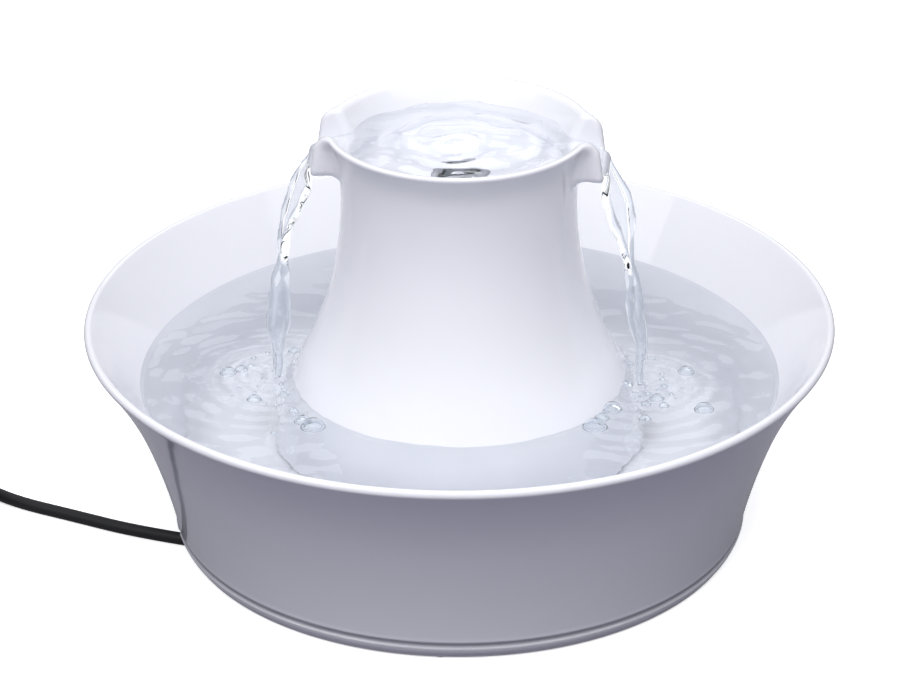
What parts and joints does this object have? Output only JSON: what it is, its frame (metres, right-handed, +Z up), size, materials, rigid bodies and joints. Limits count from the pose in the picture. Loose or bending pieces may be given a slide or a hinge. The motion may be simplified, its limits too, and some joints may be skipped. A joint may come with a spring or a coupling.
{
  "type": "pet water fountain",
  "caption": "Ceramic pet water fountain: a flared bowl with a lift-off hollow tower, a dish with two side spouts, and a submerged pump and ring filter inside.",
  "frame": {"origin": "on the ground under the middle of the bowl", "axes": "+Z up along the tower's axis; +X and -X through the two spouts; the cord leaves towards -X"},
  "size_m": [0.4136, 0.292, 0.1693],
  "materials": {
    "glaze": "glossy white glaze over fired ceramic",
    "clear_rubber": "translucent silicone",
    "clear_plastic": "clear tube",
    "pump_plastic": "black moulded plastic, fine spark texture",
    "black_rubber": "matt",
    "cup_rubber": "satin suction-cup rubber",
    "steel": "ground shaft",
    "cord_skin": "satin black cable sheath",
    "tie_strap": "black hook-and-loop strap",
    "adapter_plastic": "black, fine spark texture",
    "plated_brass": "nickel-plated blades",
    "grey_rubber": "grey silicone",
    "cage_plastic": "natural white polypropylene",
    "carbon_felt": "granular carbon behind a fine white mesh",
    "foam": "open-cell black foam",
    "magnet": "ferrite",
    "impeller_plastic": "white moulded plastic",
    "dial_plastic": "black moulded plastic"
  },
  "bodies": {
    "base": {"bowl": "glaze", "foot_pads": "clear_rubber", "riser_tube": "clear_plastic", "pump_housing": "pump_plastic", "housing_gasket": "black_rubber", "volute_plate": "pump_plastic", "shaft_bushes": "black_rubber", "rotor_shaft": "steel", "intake_cover": "pump_plastic", "suction_cups": "cup_rubber", "lead_gland": "black_rubber", "pump_lead": "cord_skin", "cord_stopper": "black_rubber", "cord_run": "cord_skin", "cord_coil": "cord_skin", "coil_tie": "tie_strap", "cord_tail": "cord_skin", "adapter_back": "adapter_plastic", "adapter_face": "adapter_plastic", "adapter_blades": "plated_brass", "adapter_relief": "cord_skin"},
    "tower": {"tower": "glaze", "tower_strips": "clear_rubber", "deck_grommet": "grey_rubber"},
    "cartridge": {"cartridge_cage": "cage_plastic", "carbon_pack": "carbon_felt", "foam_ring": "foam"},
    "rotor": {"rotor_magnet": "magnet", "impeller": "impeller_plastic"},
    "dial": {"flow_dial": "dial_plastic"}
  },
  "joints": [
    {"name": "tower_lift", "type": "slide", "parent": "base", "child": "tower", "axis": [0, 0, 1], "range_m": [0, 0.15]},
    {"name": "cartridge_lift", "type": "slide", "parent": "base", "child": "cartridge", "axis": [0, 0, 1], "range_m": [0, 0.0675]},
    {"name": "rotor_spin", "type": "hinge", "parent": "base", "child": "rotor", "pos_m": [0, 0, 0.0408], "axis": [0, 1, 0], "continuous": true},
    {"name": "dial_turn", "type": "hinge", "parent": "base", "child": "dial", "pos_m": [0, -0.021, 0.0408], "axis": [0, 1, 0], "range_deg": [0, 45]}
  ],
  "couplings": [
    {"joint": "cartridge_lift", "follows": "tower_lift", "ratio": 0.45}
  ]
}
